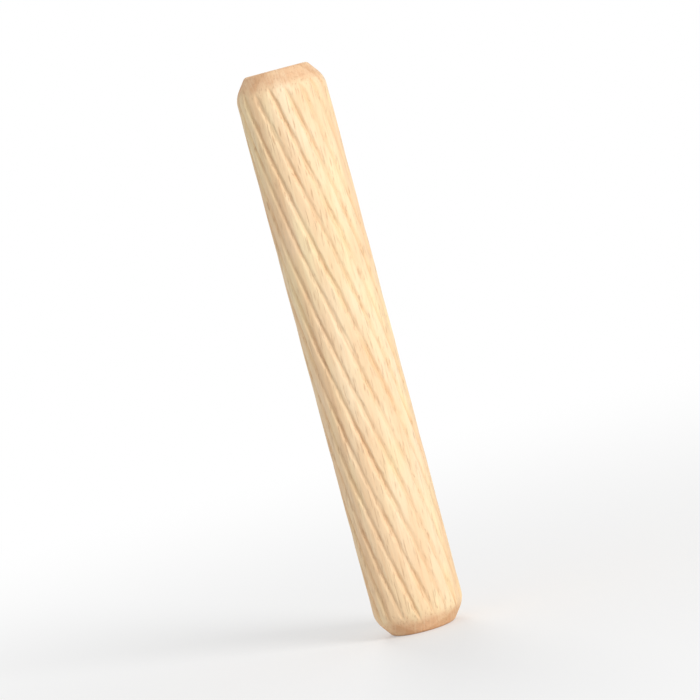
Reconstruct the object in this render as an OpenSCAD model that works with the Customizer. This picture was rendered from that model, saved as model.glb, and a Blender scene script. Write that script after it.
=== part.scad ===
/* [Pin] */
// Diameter of the pin over the lands between its flutes
pin_d = 8; // [6:0.5:12]
// Length of the pin from end face to end face
pin_l = 50; // [30:1:60]

/* [Ends] */
// Diameter of the flat sawn face at each end
end_d = 5.6; // [3:0.1:5.6]
// Length along the axis that a bevel's straight flank would take, up to the shank
bevel_l = 1.6; // [1:0.1:3]
// Radius that eases the corner between a bevel and the shank
ease_r = 2.4; // [0.5:0.1:2.5]

/* [Flutes] */
// Number of spiral flutes round the shank
flute_count = 18; // [12:1:22]
// Depth of a flute below the lands
flute_depth = 0.2; // [0.1:0.01:0.3]
// Width of a flute where it breaks the surface
flute_w = 0.46; // [0.3:0.01:0.6]
// Width of a flute's flat floor
flute_floor_w = 0.14; // [0.06:0.01:0.25]
// Length of pin in which a flute turns once round the axis, as a left-hand spiral
flute_lead = 111; // [80:1:200]

/* [Hidden] */

beech = [0.93, 0.80, 0.60];
pin_r = pin_d / 2;
end_r = end_d / 2;

// the bevel's angle to the axis, and how far its eased corner reaches along each side
bevel_angle = atan((pin_r - end_r) / bevel_l);
ease_reach = ease_r * tan(bevel_angle / 2);
ease_steps = 5;
shank_z = bevel_l + ease_reach;

// how far a flute cutter stands clear of the pin, past its ends and above its surface
clear_end = 0.5;
clear_top = 0.15;
// turn of a flute from one layer of its cutter to the next, in degrees
layer_turn = 5.5;

// The end's rounded shoulder, from the bevel's flank up to the shank, as [radius, height] points
function shoulder() = [
    for (i = [0 : ease_steps])
        let (a = bevel_angle * (1 - i / ease_steps))
            [pin_r - ease_r * (1 - cos(a)), shank_z - ease_r * sin(a)]
];

// The same points at the other end, in the order that carries the outline on
function far_shoulder() = [
    for (i = [ease_steps : -1 : 0])
        let (p = shoulder()[i])
            [p[0], pin_l - p[1]]
];

// The turned blank: a plain round rod with an eased bevel at each end
module blank() {
    rotate_extrude($fn = 96)
        polygon(concat([[0, 0], [end_r, 0]], shoulder(), far_shoulder(), [[end_r, pin_l], [0, pin_l]]));
}

// Cross section of one flute: a flat floor and straight flanks that run on past the surface
module flute_section() {
    flank_slope = (flute_w - flute_floor_w) / 2 / flute_depth;
    top_w = flute_w + 2 * flank_slope * clear_top;
    translate([pin_r, 0])
        polygon([
            [-flute_depth, -flute_floor_w / 2],
            [clear_top, -top_w / 2],
            [clear_top, top_w / 2],
            [-flute_depth, flute_floor_w / 2]
        ]);
}

// Every flute's cutter, twisted about the axis and running out past both end faces
module flute_cutters() {
    cut_l = pin_l + 2 * clear_end;
    turn = 360 * cut_l / flute_lead;
    translate([0, 0, -clear_end])
        linear_extrude(height = cut_l, twist = turn, slices = ceil(turn / layer_turn))
            for (i = [0 : flute_count - 1])
                rotate(360 * i / flute_count)
                    flute_section();
}

module dowel_pin() {
    color(beech)
        difference() {
            blank();
            flute_cutters();
        }
}

dowel_pin();
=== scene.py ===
"""Beech dowel pin with spiral glue flutes, standing on a plain pale floor under soft studio light."""

import math

import bpy
import numpy as np
from mathutils import Euler, Matrix, Vector


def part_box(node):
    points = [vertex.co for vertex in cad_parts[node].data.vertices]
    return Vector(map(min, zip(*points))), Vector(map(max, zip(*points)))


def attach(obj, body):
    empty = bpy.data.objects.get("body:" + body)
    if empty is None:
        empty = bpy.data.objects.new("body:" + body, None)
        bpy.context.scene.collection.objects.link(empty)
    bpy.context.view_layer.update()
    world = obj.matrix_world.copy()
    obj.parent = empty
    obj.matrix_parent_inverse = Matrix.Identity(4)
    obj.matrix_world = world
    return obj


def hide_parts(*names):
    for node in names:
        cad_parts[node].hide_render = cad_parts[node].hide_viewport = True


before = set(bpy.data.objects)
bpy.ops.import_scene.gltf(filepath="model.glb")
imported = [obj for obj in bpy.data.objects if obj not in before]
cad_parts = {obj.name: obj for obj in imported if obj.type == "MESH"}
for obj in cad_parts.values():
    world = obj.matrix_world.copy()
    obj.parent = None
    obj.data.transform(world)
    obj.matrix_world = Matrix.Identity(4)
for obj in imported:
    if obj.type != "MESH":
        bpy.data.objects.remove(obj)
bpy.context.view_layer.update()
MM = 0.001

# ---- the pin, in metres ----
PIN_NODE = "dowel_pin"
PIN_LOW, PIN_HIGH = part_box(PIN_NODE)
PIN_R = (PIN_HIGH[0] - PIN_LOW[0]) / 2
PIN_L = PIN_HIGH[2] - PIN_LOW[2]
END_R = 2.8 * MM
BEVEL_L = 1.6 * MM
EASE_R = 2.4 * MM  # eases the corner between bevel and shank
RIM_R = 0.45 * MM  # eases the edge between bevel and end face

# ---- its flutes ----
FLUTES = 18
FLUTE_LEAD = 111 * MM  # a left-hand spiral
FLUTE_START = -0.5 * MM  # the height at which the first flute lies on +X
FLUTE_DEPTH = 0.165 * MM
FLUTE_TOP_W = 0.66 * MM
FLUTE_FLOOR_W = 0.08 * MM
FLUTE_WANDER = 0.05 * MM  # how far a flute strays from its true spiral
EDGE_RAGGED = 0.11 * MM  # how far a flute's torn edges stray
LAND_CROWN = 0.08 * MM  # how far a land falls away from its middle to its flutes
FLUTE_BLEND = 0.04 * MM  # how softly a flute runs out into a bevel
PITCH = 2 * math.pi * PIN_R / FLUTES

# a flute's depth, as shares of FLUTE_DEPTH: its mean, its slow and quick swings, and its limits
DEPTH_MEAN = 0.85
DEPTH_SLOW = 0.60
DEPTH_QUICK = 0.35
DEPTH_LEAST = 0.10
DEPTH_MOST = 1.35

# a torn edge's coarse and fine swings, as shares of EDGE_RAGGED
RAGGED_COARSE = 0.6
RAGGED_FINE = 0.5

# the flutes' noises: the length of a cell along the pin, and a seed
WANDER_NOISE = (5 * MM, 12)
EDGE_NOISE = (1.2 * MM, 13)
EDGE_FINE_NOISE = (0.5 * MM, 14)
DEPTH_SLOW_NOISE = (4.5 * MM, 15)
DEPTH_QUICK_NOISE = (1.3 * MM, 16)

# ---- the wear of its skin ----
FIBRE_DEPTH = 0.018 * MM
FINE_FIBRE_DEPTH = 0.014 * MM
TEAR_DEPTH = 0.07 * MM
TEAR_RANGE = (0.60, 0.85)  # the noise between which a tear goes from none to full

# the skin's noises: a cell's width round the pin, its length along it, and a seed
FIBRE_NOISE = (0.25 * MM, 3.5 * MM, 21)
FINE_FIBRE_NOISE = (0.14 * MM, 1.2 * MM, 22)
TEAR_NOISE = (0.32 * MM, 0.8 * MM, 23)

# ---- its sawn end faces ----
SAW_DEPTH = 0.008 * MM  # how deep they are dished on average, in waves
SAW_WAVE_X = 0.9 * MM  # the length of a wave along X, over 2 pi
SAW_WAVE_Y = 1.3 * MM  # and along Y
SAW_PHASE = 0.6
SAW_EDGE = 0.85  # the share of the face's radius inside which the waves are at their full depth

# ---- the mesh's resolution ----
COLUMNS_PER_FLUTE = 19
COLUMN_BUNCHING = 0.45  # crowds the columns towards the flutes
SHANK_STEP = 0.26 * MM
END_STEP = 0.10 * MM
RIM_POINTS = 6
SHOULDER_POINTS = 9
CAP_RINGS = 12

# ---- masks that the material reads ----
FLUTE_MASK_DEPTH = 0.08 * MM  # how deep under the outline a flute's mask is at its full strength
BEVEL_MASK_FROM = 0.05 * MM  # how far the outline lies inside the shank where the bevel's mask starts
BEVEL_MASK_TO = 0.45 * MM  # and where it is full

# ---- the UV map's name and layout: the skin at the left, the ends at the right ----
MAP_NAME = "OFBake"
MAP_MARGIN = 0.015
MAP_SPAN = 0.97
LOW_END_MIDDLE = (0.62, 0.20)
HIGH_END_MIDDLE = (0.62, 0.50)

# ---- the camera, as the photograph sees the pin ----
LENS_MM = 200
SENSOR_MM = 36
FRAME_HEIGHT = 60.5 * MM  # what the picture spans at the pin
LOOK_DOWN = math.radians(4.5)
PIN_LEAN = math.radians(14.9)  # the pin's head leans left in the picture
VIEW_TURN = math.radians(6.0)  # how far round the pin the camera and the lamps stand from -Y

# ---- the light and the floor, in metres and watts; places are for a camera at -Y ----
KEY_PLACE = (0.45, -0.62, 0.37)
KEY_POWER = 4.0
BACK_PLACE = (-0.07, 0.68, 0.42)
BACK_POWER = 2.0
LAMP_SIZE = 0.30
WORLD_FILL = 0.55
FLOOR_REACH = 4.0
FLOOR_GREY = 0.86
WHITE_AT_PIN = 0.34  # how far to white the camera sees the floor at the pin
WHITE_REACH = 0.16  # and how far from the pin it is all white


def srgb(r, g, b):
    """A colour from 0-255 display values, as a linear RGBA tuple."""
    return tuple(((c / 255 + 0.055) / 1.055) ** 2.4 for c in (r, g, b)) + (1.0,)


# ---- the beech's colours ----
PALE = srgb(251, 226, 189)
STRAW = srgb(250, 227, 182)
HONEY = srgb(246, 212, 170)
LATE_WOOD = srgb(230, 184, 138)
RAY_BROWN = srgb(190, 140, 96)
PORE_BROWN = srgb(184, 134, 90)
# painted shade: the colour that darkens the flute floors
VALLEY_PAINTED_SHADE = srgb(214, 164, 114)
BEVEL_TAN = srgb(230, 181, 140)
END_TAN = srgb(226, 182, 136)
RING_BROWN = srgb(204, 150, 104)

# ---- how strongly each pattern shows in the colour, from 0 to 1 ----
RING_SHOW = 0.34
STREAK_SHOW = 0.38
RAY_SHOW = 0.46
PORE_SHOW = 0.30
# how strongly the painted shade darkens the flute floors
VALLEY_SHADE_SHOW = 0.22
SOAK_SHOW = (0.40, 0.80)  # a bevel's tan, in its palest and darkest blotches
END_SHOW = 0.5
ARC_SHOW = 0.30
END_RAY_SHOW = 0.24

# ---- its grain; X runs out from the tree's heart, and Z along the grain ----
HEART_ANGLE = math.radians(75)  # turns the grain, so that its rings lie flat towards the camera
GRAIN_LEAN = (0.012, -0.018)  # how far the grain leans off the pin's axis, in radians
HEART_OFFSET = (46, 3, 0)  # from the tree's heart to the pin's axis, in mm
RING_GAP = 2.4  # mm
RING_WANDER = 1.1  # how far a ring strays, in rings
RING_DARKENS = (0.4, 0.9)  # the part of a ring over which its late wood comes in
RING_ENDS = (0.88, 1.0)  # and over which it stops
RAY_CELL = (3.4, 0.36, 2.2)  # one ray to a cell: its size in mm along X, Y and Z
RAY_TORN = 0.6  # how much a ray's outline is frayed

# the grain's noises: a cell's size in mm along X, Y and Z, the detail and the roughness
RING_GRAIN = ((5, 5, 26), 1.0, 0.5)
STREAK_GRAIN = ((0.26, 0.26, 5), 4.0, 0.65)
PATCH_GRAIN = ((2.0, 2.0, 9), 2.0, 0.5)
TINT_GRAIN = ((2.6, 2.6, 6), 1.0, 0.5)
RAY_TORN_GRAIN = ((0.45, 0.2, 0.9), 2.0, 0.5)
RAY_KEEP_GRAIN = ((3, 0.9, 4), 1.0, 0.5)
PORE_GRAIN = ((0.13, 0.13, 2.0), 2.0, 0.55)
FRAY_GRAIN = ((0.16, 0.16, 0.7), 2.0, 0.6)
FUZZ_GRAIN = ((0.17, 0.17, 1.6), 4.0, 0.62)
LATHE_GRAIN = ((2.5, 2.5, 0.07), 1.0, 0.5)
SAW_GRAIN = ((0.13, 4.0, 4.0), 1.0, 0.5)
BLOTCH_GRAIN = ((1.1, 0.7, 0.9), 3.0, 0.6)
END_RAY_GRAIN = ((3.5, 0.16, 6), 2.0, 0.5)

# the values of a pattern between which it goes from none to full
TINT_RANGE = (0.35, 0.65)
PATCH_RANGE = (0.3, 0.7)
STREAK_RANGE = (0.44, 0.74)
RAY_RANGE = (0.06, 0.26)  # here from full to none
RAY_KEEP_RANGE = (0.45, 0.62)
PORE_RANGE = (0.58, 0.70)
# the flute mask over which the painted shade in the flute floors comes in
VALLEY_SHADE_RANGE = (0.30, 1.05)
BLOTCH_RANGE = (0.30, 0.70)
END_RAY_RANGE = (0.50, 0.66)
VALLEY_SHADE_FRAY = 1.1  # how much the border of the painted shade in a flute floor is frayed

# ---- its surface ----
PORE_SINK = 0.5  # heights here are shares of the fibres' own
RAY_SINK = 0.25
LATHE_LINES = 0.5
SAW_LINES = 0.9
BUMP_STRENGTH = 0.9
BUMP_HEIGHT = 0.055 * MM
ROUGH_STREAKS = (0.25, 0.8)  # the streak noise over which the roughness goes through ROUGH
ROUGH = (0.52, 0.66)
LAND_POLISH = 0.08  # how much less rough the middle of a land is
BEVEL_ROUGH = 0.34  # how much rougher the bevels and ends are
SPECULAR = 0.4


# ---- small numeric helpers ----
def smoothstep(low, high, x):
    """0 up to low, 1 from high on and smooth between them; low may also be the greater."""
    t = np.clip((x - low) / (high - low), 0, 1)
    return t * t * (3 - 2 * t)


def soft_min(a, b, width):
    """The lower of two surfaces, blended where they lie within width of each other."""
    h = np.clip(0.5 + (b - a) / (2 * width), 0, 1)
    return b + (a - b) * h - width * h * (1 - h)


def lattice_noise(x, y, seed, wrap):
    """Smooth noise from 0 to 1 over a seeded lattice; x repeats every wrap cells."""
    rows = int(np.ceil(y.max() - y.min())) + 3
    table = np.random.RandomState(seed).rand(wrap, rows)
    y = y - y.min()
    x0, y0 = np.floor(x).astype(int), np.floor(y).astype(int)
    fx, fy = x - x0, y - y0
    fx, fy = fx * fx * (3 - 2 * fx), fy * fy * (3 - 2 * fy)
    left, right = x0 % wrap, (x0 + 1) % wrap
    low = table[left, y0] * (1 - fx) + table[right, y0] * fx
    high = table[left, y0 + 1] * (1 - fx) + table[right, y0 + 1] * fx
    return low * (1 - fy) + high * fy


def skin_noise(angle, height, cell_w, cell_l, seed):
    """Noise on the pin's skin with cells about cell_w round it and cell_l along it."""
    wrap = round(2 * math.pi * PIN_R / cell_w)
    return lattice_noise(angle / (2 * math.pi) * wrap, height / cell_l, seed, wrap)


def flute_noise(number, height, cell_l, seed):
    """Noise from -1 to 1 that runs along each flute and differs from flute to flute."""
    return 2 * lattice_noise(number * 1.0, height / cell_l, seed, 2 * FLUTES) - 1


# ---- the pin's outline ----
def arc(centre, radius, start, stop, count):
    """Points [radius, height] on an arc, with angles from the outward direction."""
    return [
        (centre[0] + radius * math.cos(a), centre[1] + radius * math.sin(a))
        for a in np.linspace(start, stop, count)
    ]


def end_outline():
    """The bottom end's outline from its flat face to the shank, as [radius, height] points."""
    bevel = math.atan2(PIN_R - END_R, BEVEL_L)
    shank_z = BEVEL_L + EASE_R * math.tan(bevel / 2)
    rim_reach = RIM_R * math.tan((math.pi / 2 - bevel) / 2)
    rim = arc((END_R - rim_reach, RIM_R), RIM_R, -math.pi / 2, -bevel, RIM_POINTS)
    shoulder = arc((PIN_R - EASE_R, shank_z), EASE_R, -bevel, 0, SHOULDER_POINTS)
    foot, head = np.array(rim[-1]), np.array(shoulder[0])
    steps = int(math.hypot(*(head - foot)) / END_STEP)
    flank = [tuple(foot + (head - foot) * t) for t in np.linspace(0, 1, steps + 1)[1:-1]]
    return rim + flank + shoulder


def pin_outline():
    """The whole outline from the bottom face to the top one, as arrays of radius and height."""
    low = end_outline()
    high = [(r, PIN_L - z) for r, z in reversed(low)]
    steps = int((high[0][1] - low[-1][1]) / SHANK_STEP)
    shank = [(PIN_R, z) for z in np.linspace(low[-1][1], high[0][1], steps + 1)[1:-1]]
    points = np.array(low + shank + high)
    return points[:, 0], points[:, 1]


# ---- the pin's mesh: columns that follow the flutes, rows along the outline ----
def flute_columns():
    """For each mesh column, its flute's number and its place across the pitch from 0 to 1."""
    u = np.arange(COLUMNS_PER_FLUTE) / COLUMNS_PER_FLUTE
    across = u - COLUMN_BUNCHING * np.sin(2 * math.pi * u) / (2 * math.pi)
    number = np.repeat(np.arange(FLUTES), COLUMNS_PER_FLUTE)
    return number, np.tile(across, FLUTES)


def flute_cut(number, across, height):
    """How deep each point lies under the full radius, and how far it is into a flute and a land."""
    far_half = across > 0.5
    flute = (number + far_half) % FLUTES
    signed = (across - far_half) * PITCH
    off = np.abs(signed - FLUTE_WANDER * flute_noise(flute, height, *WANDER_NOISE))
    edge = 2 * flute + (signed > 0)
    ragged = RAGGED_COARSE * flute_noise(edge, height, *EDGE_NOISE)
    ragged += RAGGED_FINE * flute_noise(edge, height, *EDGE_FINE_NOISE)
    reach = FLUTE_TOP_W / 2 + EDGE_RAGGED * ragged
    valley = 1 - smoothstep(FLUTE_FLOOR_W / 2, reach, off)
    slow = DEPTH_SLOW * flute_noise(flute, height, *DEPTH_SLOW_NOISE)
    quick = DEPTH_QUICK * flute_noise(flute, height, *DEPTH_QUICK_NOISE)
    depth = FLUTE_DEPTH * np.clip(DEPTH_MEAN + slow + quick, DEPTH_LEAST, DEPTH_MOST)
    land = np.abs(signed) / (PITCH / 2)
    return depth * valley + LAND_CROWN * (1 - land) ** 2, valley, land


def skin_wear(angle, height, valley):
    """Fine unevenness cut into the skin: raised grain along the pin and torn flute edges."""
    fibre = skin_noise(angle, height, *FIBRE_NOISE)
    fine = skin_noise(angle, height, *FINE_FIBRE_NOISE)
    tear = smoothstep(*TEAR_RANGE, skin_noise(angle, height, *TEAR_NOISE))
    edge = 4 * valley * (1 - valley)
    return FIBRE_DEPTH * fibre + FINE_FIBRE_DEPTH * fine + TEAR_DEPTH * tear * edge


def pin_grid():
    """The pin's points, its masks at each point, and how far along the outline each row of skin lies."""
    radius, height = pin_outline()
    number, across = flute_columns()
    radius_at = np.tile(radius[:, None], (1, len(number)))
    height_at = np.tile(height[:, None], (1, len(number)))
    number_at = np.tile(number, (len(height), 1))
    across_at = np.tile(across, (len(height), 1))
    turn = 2 * math.pi * (height_at - FLUTE_START) / FLUTE_LEAD
    angle = 2 * math.pi * (number_at + across_at) / FLUTES - turn
    cut, valley, land = flute_cut(number_at, across_at, height_at)
    unworn = np.minimum(soft_min(radius_at, PIN_R - cut, FLUTE_BLEND), PIN_R)
    in_flute = valley * smoothstep(0, FLUTE_MASK_DEPTH, radius_at - (PIN_R - cut))
    skin = unworn - skin_wear(angle, height_at, in_flute)
    bevel = smoothstep(BEVEL_MASK_FROM, BEVEL_MASK_TO, PIN_R - radius_at)
    side = np.stack([skin * np.cos(angle), skin * np.sin(angle), height_at], -1)
    low_cap, high_cap = cap_rings(side[0], 1), cap_rings(side[-1], -1)
    masks = {
        # the material paints shade into the flute floors through this mask
        "flute": with_caps(in_flute, 0.0),
        "land": with_caps(land * (1 - bevel), 0.0),
        "bevel": with_caps(bevel, 1.0),
        "end": with_caps(np.zeros_like(bevel), 1.0),
    }
    along = np.concatenate([[0], np.cumsum(np.hypot(np.diff(radius), np.diff(height)))])
    return np.concatenate([low_cap[::-1], side, high_cap]), masks, along


def cap_rings(rim, inward):
    """Rings from the rim of an end face in to near its middle, very slightly dished by sawing."""
    rings = []
    for k in range(1, CAP_RINGS + 1):
        share = 1 - k / (CAP_RINGS + 0.5)
        ring = rim.copy()
        ring[:, :2] *= share
        wave = np.sin(ring[:, 0] / SAW_WAVE_X + SAW_PHASE) * np.sin(ring[:, 1] / SAW_WAVE_Y)
        ring[:, 2] += inward * SAW_DEPTH * (1 + wave) * smoothstep(1.0, SAW_EDGE, share)
        rings.append(ring)
    return np.array(rings)


def with_caps(values, on_end):
    """A mask over the skin, with rows added for both end faces."""
    cap = np.full((CAP_RINGS, values.shape[1]), on_end)
    return np.concatenate([cap, values, cap])


def with_middles(grid):
    """The grid's values as one list, followed by those of the middles of its first and last rows."""
    return np.concatenate([grid.reshape(-1, *grid.shape[2:]), [grid[0].mean(0), grid[-1].mean(0)]])


def grid_faces(rows, columns):
    """Quads between neighbouring rows of a closed grid, and a fan of triangles over each end."""
    row = np.arange(rows - 1)[:, None] * columns
    here = np.arange(columns)
    beside = (here + 1) % columns
    corners = [row + here, row + beside, row + columns + beside, row + columns + here]
    quads = np.stack(corners, -1).reshape(-1, 4)
    low_middle, high_middle = rows * columns, rows * columns + 1
    top = (rows - 1) * columns
    low_fan = np.stack([np.full(columns, low_middle), beside, here], -1)
    high_fan = np.stack([np.full(columns, high_middle), top + here, top + beside], -1)
    return quads.tolist() + low_fan.tolist() + high_fan.tolist()


# ---- its UV map ----
def quad_uvs(uv):
    """The four corners of each quad of a grid of UVs, in the faces' order."""
    corners = (uv[:-1, :-1], uv[:-1, 1:], uv[1:, 1:], uv[1:, :-1])
    return np.stack(corners, 2).reshape(-1, 2)


def fan_uvs(first, second):
    """The three corners of each triangle of a fan, from its middle to both ends of its outer side."""
    middle = np.tile(first.mean(0), (len(first), 1))
    return np.stack([middle, first, second], 1).reshape(-1, 2)


def flat_map(grid, along):
    """A UV for each corner of each face: the skin unrolled flute by flute, and the two ends beside it."""
    rows, columns = grid.shape[:2]
    scale = MAP_SPAN / along[-1]
    round_pin = 2 * math.pi * PIN_R * np.arange(columns + 1) / columns
    skin = MAP_MARGIN + scale * np.stack(np.meshgrid(round_pin, along), -1)
    closed = np.concatenate([grid, grid[:, :1]], 1)
    low = closed[: CAP_RINGS + 1, :, :2] * scale + LOW_END_MIDDLE
    high = closed[rows - CAP_RINGS - 1 :, :, :2] * scale + HIGH_END_MIDDLE
    quads = [quad_uvs(low), quad_uvs(skin), quad_uvs(high)]
    fans = [fan_uvs(low[0, 1:], low[0, :-1]), fan_uvs(high[-1, :-1], high[-1, 1:])]
    return np.concatenate(quads + fans)


def add_pin(material):
    """The detailed pin, which stands for the CAD one."""
    grid, masks, along = pin_grid()
    mesh = bpy.data.meshes.new("fluted_pin")
    mesh.from_pydata(with_middles(grid).tolist(), [], grid_faces(*grid.shape[:2]))
    for name, value in masks.items():
        layer = mesh.attributes.new(name, "FLOAT", "POINT")
        layer.data.foreach_set("value", with_middles(value).astype(np.float32))
    uvs = mesh.uv_layers.new(name=MAP_NAME)
    uvs.uv.foreach_set("vector", flat_map(grid, along).reshape(-1).astype(np.float32))
    mesh.shade_smooth()
    mesh.materials.append(material)
    pin = bpy.data.objects.new("fluted_pin", mesh)
    bpy.context.collection.objects.link(pin)
    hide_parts(PIN_NODE)
    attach(pin, "root")


# ---- building with nodes ----
class Nodes:
    """Short calls for building the node tree of a material or a world."""

    def __init__(self, owner):
        owner.use_nodes = True
        self.tree = owner.node_tree
        self.tree.nodes.clear()

    def feed(self, target, value):
        """Links another node's output to an input, or sets the input to a plain value."""
        if isinstance(value, bpy.types.NodeSocket):
            self.tree.links.new(value, target)
        else:
            target.default_value = value

    def add(self, kind, inputs=None, **settings):
        """A new node of this kind, with its inputs by name or by number."""
        made = self.tree.nodes.new(kind)
        for key, value in settings.items():
            setattr(made, key, value)
        for key, value in (inputs or {}).items():
            self.feed(made.inputs[key], value)
        return made

    def calc(self, operation, a, b=0.0, clamp=False):
        """The result of one maths node."""
        return self.add("ShaderNodeMath", {0: a, 1: b}, operation=operation, use_clamp=clamp).outputs[0]

    def remap(self, value, low, high, to_low=0.0, to_high=1.0):
        """A value carried smoothly from one range to another, and held at its ends."""
        made = self.add(
            "ShaderNodeMapRange",
            {"Value": value, "From Min": low, "From Max": high, "To Min": to_low, "To Max": to_high},
            interpolation_type="SMOOTHSTEP",
        )
        return made.outputs[0]

    def swing(self, noise, amount):
        """A noise from 0 to 1, centred on 0 and scaled."""
        return self.calc("MULTIPLY", self.calc("SUBTRACT", noise, 0.5), amount)

    def mix(self, amount, a, b):
        """Colour a, with this amount of colour b."""
        made = self.add("ShaderNodeMix", data_type="RGBA", clamp_factor=True)
        sockets = {s.identifier: s for s in made.inputs}
        self.feed(sockets["Factor_Float"], amount)
        self.feed(sockets["A_Color"], a)
        self.feed(sockets["B_Color"], b)
        return next(s for s in made.outputs if s.identifier == "Result_Color")

    def cells(self, coords, size):
        """Coordinates in mm scaled so that a pattern of scale 1 has cells of this size."""
        scale = tuple(1 / side for side in size)
        return self.add("ShaderNodeMapping", {"Vector": coords, "Scale": scale}).outputs[0]

    def grain(self, coords, size, detail, rough):
        """Noise from 0 to 1 with cells of this size in mm."""
        place = self.cells(coords, size)
        settings = {"Vector": place, "Scale": 1.0, "Detail": detail, "Roughness": rough}
        return self.add("ShaderNodeTexNoise", settings).outputs["Fac"]


# ---- the beech material ----
def wood_coords(n):
    """Millimetres in the pin, turned so that X runs out from the tree's heart and Z along the grain."""
    coords = n.add("ShaderNodeTexCoord").outputs["Object"]
    turned_to = Euler((*GRAIN_LEAN, HEART_ANGLE))
    in_mm = (1 / MM, 1 / MM, 1 / MM)
    settings = {"Vector": coords, "Rotation": turned_to, "Scale": in_mm}
    return n.add("ShaderNodeMapping", settings).outputs[0]


def growth_rings(n, coords):
    """How strongly the darker late wood shows in its rings round the distant heart."""
    centred = n.add("ShaderNodeVectorMath", {0: coords, 1: HEART_OFFSET}, operation="ADD").outputs[0]
    flat = n.add("ShaderNodeVectorMath", {0: centred, 1: (1, 1, 0)}, operation="MULTIPLY").outputs[0]
    far = n.add("ShaderNodeVectorMath", {0: flat}, operation="LENGTH").outputs["Value"]
    wander = n.calc("MULTIPLY", n.grain(coords, *RING_GRAIN), RING_WANDER)
    ring = n.calc("ADD", n.calc("DIVIDE", far, RING_GAP), wander)
    part = n.calc("FRACT", ring)
    return n.calc("MULTIPLY", n.remap(part, *RING_DARKENS), n.remap(part, *RING_ENDS, 1.0, 0.0))


def ray_flecks(n, coords):
    """Beech's rays: thin upright sheets that point to the heart, seen as short dark flecks."""
    sheets = n.add(
        "ShaderNodeTexVoronoi",
        {"Vector": n.cells(coords, RAY_CELL), "Scale": 1.0, "Randomness": 1.0},
        feature="F1",
    )
    torn = n.swing(n.grain(coords, *RAY_TORN_GRAIN), RAY_TORN)
    near = n.remap(n.calc("ADD", sheets.outputs["Distance"], torn), *RAY_RANGE, 1.0, 0.0)
    keep = n.remap(n.grain(coords, *RAY_KEEP_GRAIN), *RAY_KEEP_RANGE)
    return n.calc("MULTIPLY", near, keep)


def pores(n, coords):
    """Fine vessels along the grain: short hairlines on the side, dots on the ends."""
    return n.remap(n.grain(coords, *PORE_GRAIN), *PORE_RANGE)


def ragged_valley_shade(n, coords, flute):
    """Painted shade: the flutes' floors darkened in colour, with frayed borders."""
    fray = n.swing(n.grain(coords, *FRAY_GRAIN), VALLEY_SHADE_FRAY)
    return n.remap(n.calc("ADD", flute, fray), *VALLEY_SHADE_RANGE)


def relief(n, coords, vessels, rays, masks):
    """Height of the fine grain: fibres and pores, tool rings on the bevels, saw lines on the ends."""
    fuzz = n.grain(coords, *FUZZ_GRAIN)
    height = n.calc("SUBTRACT", fuzz, n.calc("MULTIPLY", vessels, PORE_SINK))
    height = n.calc("SUBTRACT", height, n.calc("MULTIPLY", rays, RAY_SINK))
    lathe = n.calc("MULTIPLY", n.grain(coords, *LATHE_GRAIN), masks["bevel"])
    height = n.calc("ADD", height, n.calc("MULTIPLY", lathe, LATHE_LINES))
    sawn = n.calc("MULTIPLY", n.grain(coords, *SAW_GRAIN), masks["end"])
    return n.calc("ADD", height, n.calc("MULTIPLY", sawn, SAW_LINES))


def end_grain(n, coords, colour, rings, masks):
    """Where the grain is cut across: tanner and blotchy, with arcs of late wood and fine pale rays."""
    blotch = n.remap(n.grain(coords, *BLOTCH_GRAIN), *BLOTCH_RANGE, *SOAK_SHOW)
    colour = n.mix(n.calc("MULTIPLY", masks["bevel"], blotch), colour, BEVEL_TAN)
    colour = n.mix(n.calc("MULTIPLY", masks["end"], END_SHOW), colour, END_TAN)
    arcs = n.calc("MULTIPLY", rings, masks["bevel"])
    colour = n.mix(n.calc("MULTIPLY", arcs, ARC_SHOW), colour, RING_BROWN)
    fine = n.remap(n.grain(coords, *END_RAY_GRAIN), *END_RAY_RANGE)
    fine = n.calc("MULTIPLY", fine, masks["bevel"])
    return n.mix(n.calc("MULTIPLY", fine, END_RAY_SHOW), colour, PALE)


def wood_colour(n, coords, streaks, vessels, rays, masks):
    """Beech's colour: pale, with soft patches, streaks, rings, flecks and pores, and painted shade in the
    flute floors.
    """
    rings = growth_rings(n, coords)
    tint = n.remap(n.grain(coords, *TINT_GRAIN), *TINT_RANGE)
    patches = n.remap(n.grain(coords, *PATCH_GRAIN), *PATCH_RANGE)
    colour = n.mix(patches, n.mix(tint, PALE, STRAW), HONEY)
    colour = n.mix(n.calc("MULTIPLY", rings, RING_SHOW), colour, LATE_WOOD)
    colour = n.mix(n.remap(streaks, *STREAK_RANGE, 0.0, STREAK_SHOW), colour, LATE_WOOD)
    colour = n.mix(n.calc("MULTIPLY", rays, RAY_SHOW), colour, RAY_BROWN)
    colour = n.mix(n.calc("MULTIPLY", vessels, PORE_SHOW), colour, PORE_BROWN)
    colour = end_grain(n, coords, colour, rings, masks)
    # painted shade: the flute floors darkened in colour
    valley = ragged_valley_shade(n, coords, masks["flute"])
    return n.mix(n.calc("MULTIPLY", valley, VALLEY_SHADE_SHOW), colour, VALLEY_PAINTED_SHADE)


def wood_roughness(n, streaks, masks):
    """Uneven with the streaks, a little polished on the lands and rough where the grain is cut."""
    rough = n.remap(streaks, *ROUGH_STREAKS, *ROUGH)
    rough = n.calc("SUBTRACT", rough, n.calc("MULTIPLY", masks["land"], LAND_POLISH))
    return n.calc("ADD", rough, n.calc("MULTIPLY", masks["bevel"], BEVEL_ROUGH), clamp=True)


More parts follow.
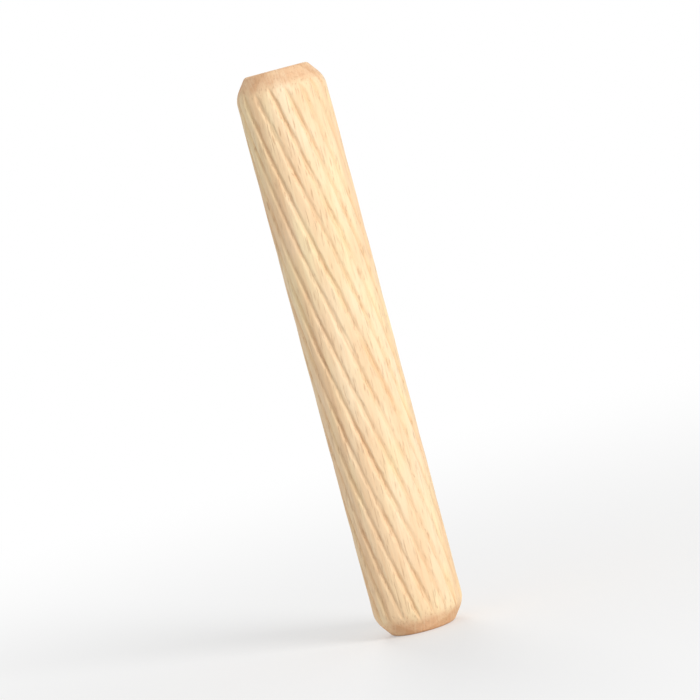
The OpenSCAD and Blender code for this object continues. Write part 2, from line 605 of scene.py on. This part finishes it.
def beech_material():
    """The wood, whose colour, roughness and bump all come from the same grain."""
    material = bpy.data.materials.new("beech")
    n = Nodes(material)
    coords = wood_coords(n)
    masks = {
        name: n.add("ShaderNodeAttribute", attribute_name=name).outputs["Fac"]
        for name in ("flute", "land", "bevel", "end")
    }
    streaks = n.grain(coords, *STREAK_GRAIN)
    vessels, rays = pores(n, coords), ray_flecks(n, coords)
    height = relief(n, coords, vessels, rays, masks)
    bump = n.add("ShaderNodeBump", {"Strength": BUMP_STRENGTH, "Distance": BUMP_HEIGHT, "Height": height})
    shader = n.add(
        "ShaderNodeBsdfPrincipled",
        {
            "Base Color": wood_colour(n, coords, streaks, vessels, rays, masks),
            "Roughness": wood_roughness(n, streaks, masks),
            "Normal": bump.outputs[0],
            "Specular IOR Level": SPECULAR,
        },
    )
    n.add("ShaderNodeOutputMaterial", {"Surface": shader.outputs[0]})
    return material


# ---- floor, light and camera ----
def directly_seen(n):
    """1 where the camera looks, also by way of a reflection or through glass, and 0 for lighting."""
    path = n.add("ShaderNodeLightPath").outputs
    mirrored = n.calc("ADD", path["Is Glossy Ray"], path["Is Transmission Ray"])
    return n.calc("ADD", path["Is Camera Ray"], mirrored, clamp=True)


def floor_material():
    """Pale and matt; to the camera it lightens to white away from the pin."""
    material = bpy.data.materials.new("floor")
    n = Nodes(material)
    place = n.add("ShaderNodeTexCoord").outputs["Object"]
    away = n.add("ShaderNodeVectorMath", {0: place}, operation="LENGTH").outputs["Value"]
    lightens = n.remap(away, 0.0, WHITE_REACH, WHITE_AT_PIN, 1.0)
    fade = n.calc("MULTIPLY", lightens, directly_seen(n))
    grey = (FLOOR_GREY, FLOOR_GREY, FLOOR_GREY, 1)
    matt = n.add("ShaderNodeBsdfDiffuse", {"Color": grey}).outputs[0]
    white = n.add("ShaderNodeEmission", {"Color": (1, 1, 1, 1), "Strength": 1.0}).outputs[0]
    mixed = n.add("ShaderNodeMixShader", {0: fade, 1: matt, 2: white}).outputs[0]
    n.add("ShaderNodeOutputMaterial", {"Surface": mixed})
    return material


def add_floor():
    """A wide flat floor."""
    mesh = bpy.data.meshes.new("floor")
    corners = [(x * FLOOR_REACH, y * FLOOR_REACH, 0) for x, y in ((-1, -1), (1, -1), (1, 1), (-1, 1))]
    mesh.from_pydata(corners, [], [(0, 1, 2, 3)])
    mesh.materials.append(floor_material())
    floor = bpy.data.objects.new("floor", mesh)
    bpy.context.collection.objects.link(floor)


def add_world():
    """White where the camera looks, and a softer even fill on everything else."""
    world = bpy.data.worlds.new("studio")
    bpy.context.scene.world = world
    n = Nodes(world)
    level = n.add("ShaderNodeMapRange", {"Value": directly_seen(n), "To Min": WORLD_FILL, "To Max": 1.0})
    background = n.add("ShaderNodeBackground", {"Color": (1, 1, 1, 1), "Strength": level.outputs[0]})
    n.add("ShaderNodeOutputWorld", {"Surface": background.outputs[0]})


def turned(place):
    """A place given for a camera at -Y, carried round the pin with the view."""
    return Matrix.Rotation(VIEW_TURN, 3, "Z") @ Vector(place)


def add_lamp(name, place, target, power):
    """A round lamp that faces the target; its place is given for a camera at -Y."""
    lamp = bpy.data.lights.new(name, "AREA")
    lamp.shape = "DISK"
    lamp.size = LAMP_SIZE
    lamp.energy = power
    holder = bpy.data.objects.new(name, lamp)
    bpy.context.collection.objects.link(holder)
    holder.location = turned(place)
    holder.rotation_mode = "QUATERNION"
    holder.rotation_quaternion = (target - turned(place)).to_track_quat("-Z", "Y")


def add_camera(target):
    """A long lens that looks a little down on the target, rolled so that the pin leans."""
    data = bpy.data.cameras.new("camera")
    data.lens = LENS_MM
    data.sensor_width = SENSOR_MM
    camera = bpy.data.objects.new("camera", data)
    bpy.context.collection.objects.link(camera)
    distance = FRAME_HEIGHT * LENS_MM / SENSOR_MM
    back = turned((0, -math.cos(LOOK_DOWN), math.sin(LOOK_DOWN)))
    facing = (-back).to_track_quat("-Z", "Y").to_matrix()
    rolled = facing @ Matrix.Rotation(-PIN_LEAN, 3, "Z")
    camera.matrix_world = Matrix.Translation(target + back * distance) @ rolled.to_4x4()
    bpy.context.scene.camera = camera


middle = Vector((0, 0, PIN_L / 2))
add_camera(middle)
add_world()
add_lamp("key", KEY_PLACE, middle, KEY_POWER)
add_lamp("back", BACK_PLACE, middle, BACK_POWER)
add_floor()
add_pin(beech_material())
bpy.context.scene.view_settings.view_transform = "Standard"
